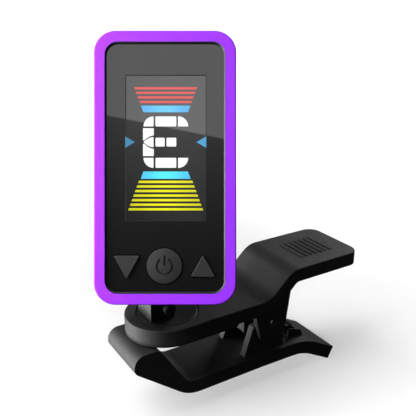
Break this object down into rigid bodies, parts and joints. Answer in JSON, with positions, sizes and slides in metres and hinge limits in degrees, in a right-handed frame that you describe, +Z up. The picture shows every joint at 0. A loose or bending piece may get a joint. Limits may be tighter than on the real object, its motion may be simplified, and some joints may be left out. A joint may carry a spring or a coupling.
{
  "type": "clip-on tuner",
  "caption": "Clip-on instrument tuner: slim display head with lit strobe face on a ball joint, turning on a sprung clip with a rubber-faced jaw.",
  "frame": {"origin": "middle of the rubber jaw face, on the turntable's axis", "axes": "+X runs along the clip from the jaw's nose to the thumb end, +Z goes up through the turntable to the display head, +Y is the far side of the clip"},
  "size_m": [0.0679, 0.0358, 0.0837],
  "materials": {
    "bezel_purple": "satin",
    "shell_black": "fine texture",
    "arm_black": "fine texture",
    "trim_black": "satin",
    "turntable_black": "fine texture",
    "lens_black": "polished",
    "key_rubber": "matte",
    "pad_rubber": "matte",
    "steel": "bright",
    "spring_steel": "bright",
    "screw_black": "blackened",
    "brass": "satin",
    "diffuser_white": "translucent",
    "frame_white": "moulded",
    "lcd_glass": "polished",
    "board_green": "solder mask",
    "chip_black": "moulded",
    "dome_steel": "bright",
    "cell_steel": "bright",
    "contact_plated": "plated"
  },
  "bodies": {
    "clip_upper": {"upper_arm": "arm_black", "jaw_pad": "pad_rubber", "hinge_pin": "screw_black", "torsion_spring": "spring_steel"},
    "clip_lower": {"lower_arm": "arm_black"},
    "turntable_unit": {"turntable": "turntable_black", "clamp_jaw": "turntable_black", "clamp_screw": "screw_black", "clamp_nut": "brass", "retaining_washer": "steel", "retaining_screw": "steel"},
    "stud": {"ball_stud": "steel"},
    "head": {"bezel_ring": "bezel_purple", "rear_shell": "shell_black", "stud_pin": "steel", "case_screws": "screw_black", "face_lens": "lens_black", "face_trim": "trim_black", "backlight": "diffuser_white", "lcd_panel": "lcd_glass", "display_frame": "frame_white", "circuit_board": "board_green", "board_chips": "chip_black", "dome_switches": "dome_steel", "piezo_pickup": "brass", "battery_cell": "cell_steel", "battery_contact_neg": "contact_plated", "battery_contact_pos": "contact_plated"},
    "door": {"battery_door": "shell_black"},
    "key_down_body": {"key_down": "key_rubber"},
    "key_power_body": {"key_power": "key_rubber"},
    "key_up_body": {"key_up": "key_rubber"}
  },
  "joints": [
    {"name": "jaw_hinge", "type": "hinge", "parent": "clip_upper", "child": "clip_lower", "pos_m": [0.0245, 0, -0.0035], "axis": [0, -1, 0], "range_deg": [0, 30], "stiffness_Nm_per_rad": 0.05, "springref_deg": -57.3, "deforming": ["torsion_spring"]},
    {"name": "turntable_swivel", "type": "hinge", "parent": "clip_upper", "child": "turntable_unit", "pos_m": [0, 0, 0.00415], "axis": [0, 0, 1], "continuous": true},
    {"name": "ball_tilt", "type": "hinge", "parent": "turntable_unit", "child": "stud", "pos_m": [0.00075, 0, 0.01115], "axis": [0.848, -0.5299, 0], "range_deg": [-12, 16]},
    {"name": "head_swivel", "type": "hinge", "parent": "stud", "child": "head", "pos_m": [0.00075, 0, 0.01115], "axis": [0.1847, 0.2956, 0.9373], "range_deg": [-30, 30]},
    {"name": "door_turn", "type": "hinge", "parent": "head", "child": "door", "pos_m": [0.00392, 0.00507, 0.04094], "axis": [-0.4967, -0.7949, 0.3486], "range_deg": [0, 45]},
    {"name": "key_down_press", "type": "slide", "parent": "head", "child": "key_down_body", "axis": [0.4967, 0.7949, -0.3486], "range_m": [0, 0.0004], "stiffness_N_per_m": 2500, "springref_m": -0.0002},
    {"name": "key_power_press", "type": "slide", "parent": "head", "child": "key_power_body", "axis": [0.4967, 0.7949, -0.3486], "range_m": [0, 0.0004], "stiffness_N_per_m": 2500, "springref_m": -0.0002},
    {"name": "key_up_press", "type": "slide", "parent": "head", "child": "key_up_body", "axis": [0.4967, 0.7949, -0.3486], "range_m": [0, 0.0004], "stiffness_N_per_m": 2500, "springref_m": -0.0002}
  ]
}
